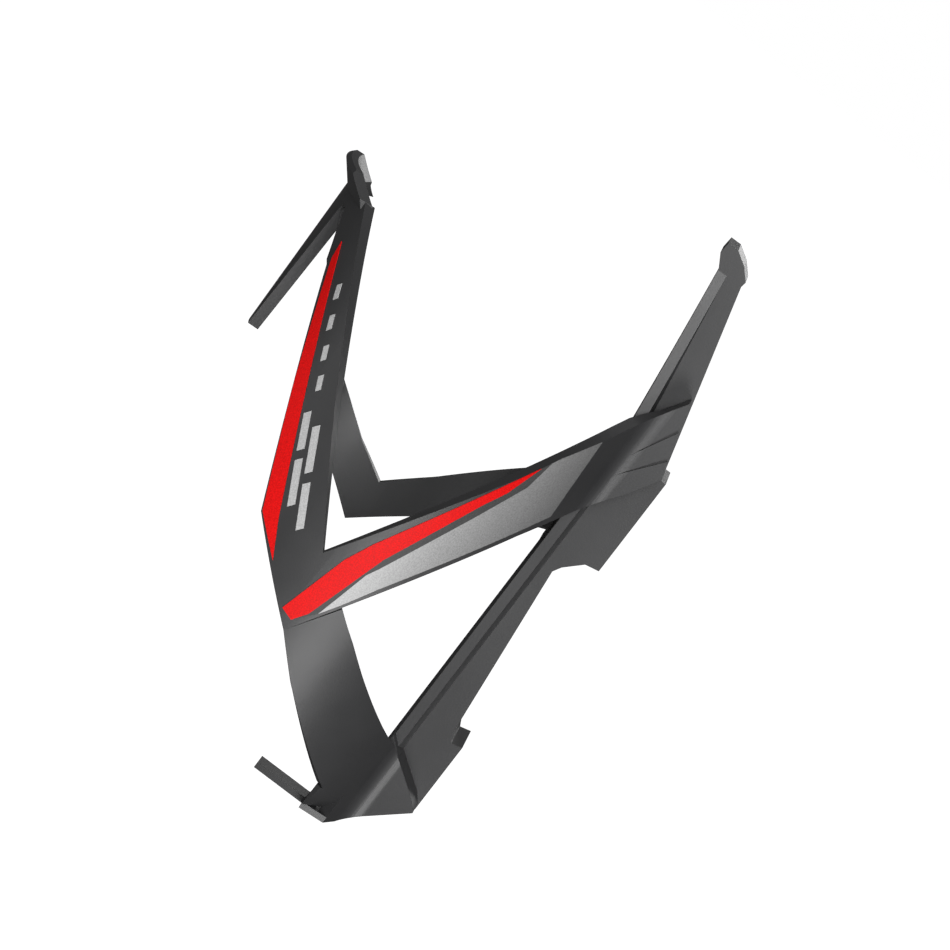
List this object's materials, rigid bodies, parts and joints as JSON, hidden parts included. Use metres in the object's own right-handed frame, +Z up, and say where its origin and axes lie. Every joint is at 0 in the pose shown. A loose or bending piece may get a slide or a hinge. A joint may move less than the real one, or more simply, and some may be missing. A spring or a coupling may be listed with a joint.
{
  "type": "water bottle cage",
  "caption": "Moulded composite bicycle bottle cage with a slotted spine, hooked fin, two arms meeting at a front lip, a spring finger and a foot tongue.",
  "frame": {"origin": "midway between the two frame bolts, on the face that rests on the frame tube", "axes": "+Z up the bottle's axis, +Y into the frame tube, +X to the drive side"},
  "size_m": [0.0789, 0.0908, 0.1417],
  "materials": {
    "composite": "satin moulded carbon-fibre composite, fine grain",
    "red_print": "printed red with fine metallic grain under a satin lacquer",
    "silver_print": "printed silver with fine metallic grain, darker towards the rear",
    "grey_print": "printed dark grey line, satin"
  },
  "bodies": {
    "root": {"spine": "composite", "fin": "composite", "near_arm": "composite", "lower_leg": "composite", "far_arm": "composite", "front_hub": "composite", "finger": "composite", "foot": "composite", "leg_stripe": "red_print", "band_stripe": "red_print", "band_panel": "silver_print", "pinline": "grey_print", "marks": "silver_print"}
  },
  "joints": []
}
